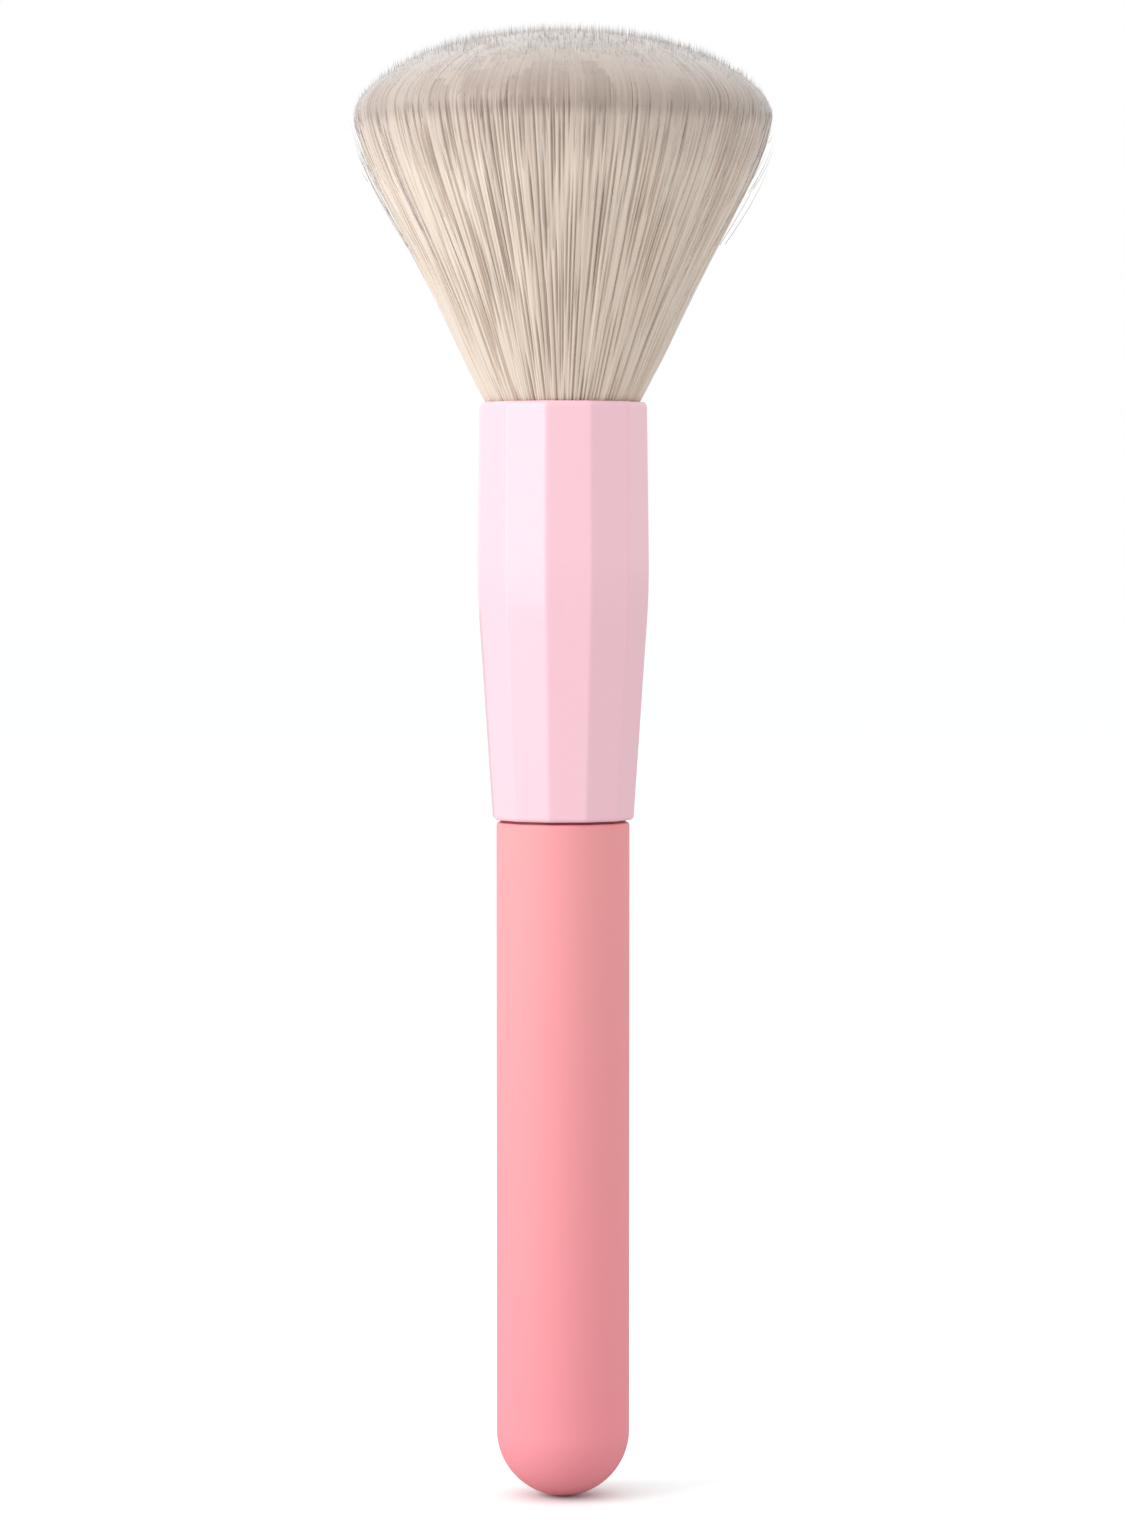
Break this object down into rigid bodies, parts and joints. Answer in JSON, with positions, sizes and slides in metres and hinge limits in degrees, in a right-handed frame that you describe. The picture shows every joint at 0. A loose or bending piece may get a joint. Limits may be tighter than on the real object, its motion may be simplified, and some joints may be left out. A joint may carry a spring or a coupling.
{
  "type": "powder brush",
  "caption": "Make-up powder brush: flared domed hair tuft in a faceted tapered sleeve on a round-ended cylindrical handle.",
  "frame": {"origin": "tip of the handle's round end, on the brush axis: the bottom centre of the bounding box", "axes": "+Z along the brush axis from the handle's tip to the top of the tuft; X and Y across, in no special direction, as the brush is round about Z apart from the sleeve's flats"},
  "size_m": [0.0499, 0.0501, 0.1749],
  "materials": {
    "handle_soft_touch": "matte soft-touch lacquer, salmon pink",
    "sleeve_pearl": "glossy pearl lacquer, light pink",
    "connector_plastic": "plain moulded, dark red",
    "can_aluminium": "drawn, plain",
    "weight_steel": "turned bar, plain",
    "cured_glue": "cured adhesive and resin, amber cream",
    "thread": "cotton thread",
    "hair_fibre": "soft tapered synthetic fibre, cream to taupe with paler tips"
  },
  "bodies": {
    "root": {"handle_shell": "handle_soft_touch", "weight_bond": "cured_glue", "handle_weight": "weight_steel", "connector": "connector_plastic", "handle_bond": "cured_glue", "sleeve_bond": "cured_glue", "sleeve": "sleeve_pearl", "ferrule_can": "can_aluminium", "can_bond": "cured_glue", "root_resin": "cured_glue", "tuft_binding": "thread", "bristle_tuft": "hair_fibre"}
  },
  "joints": []
}
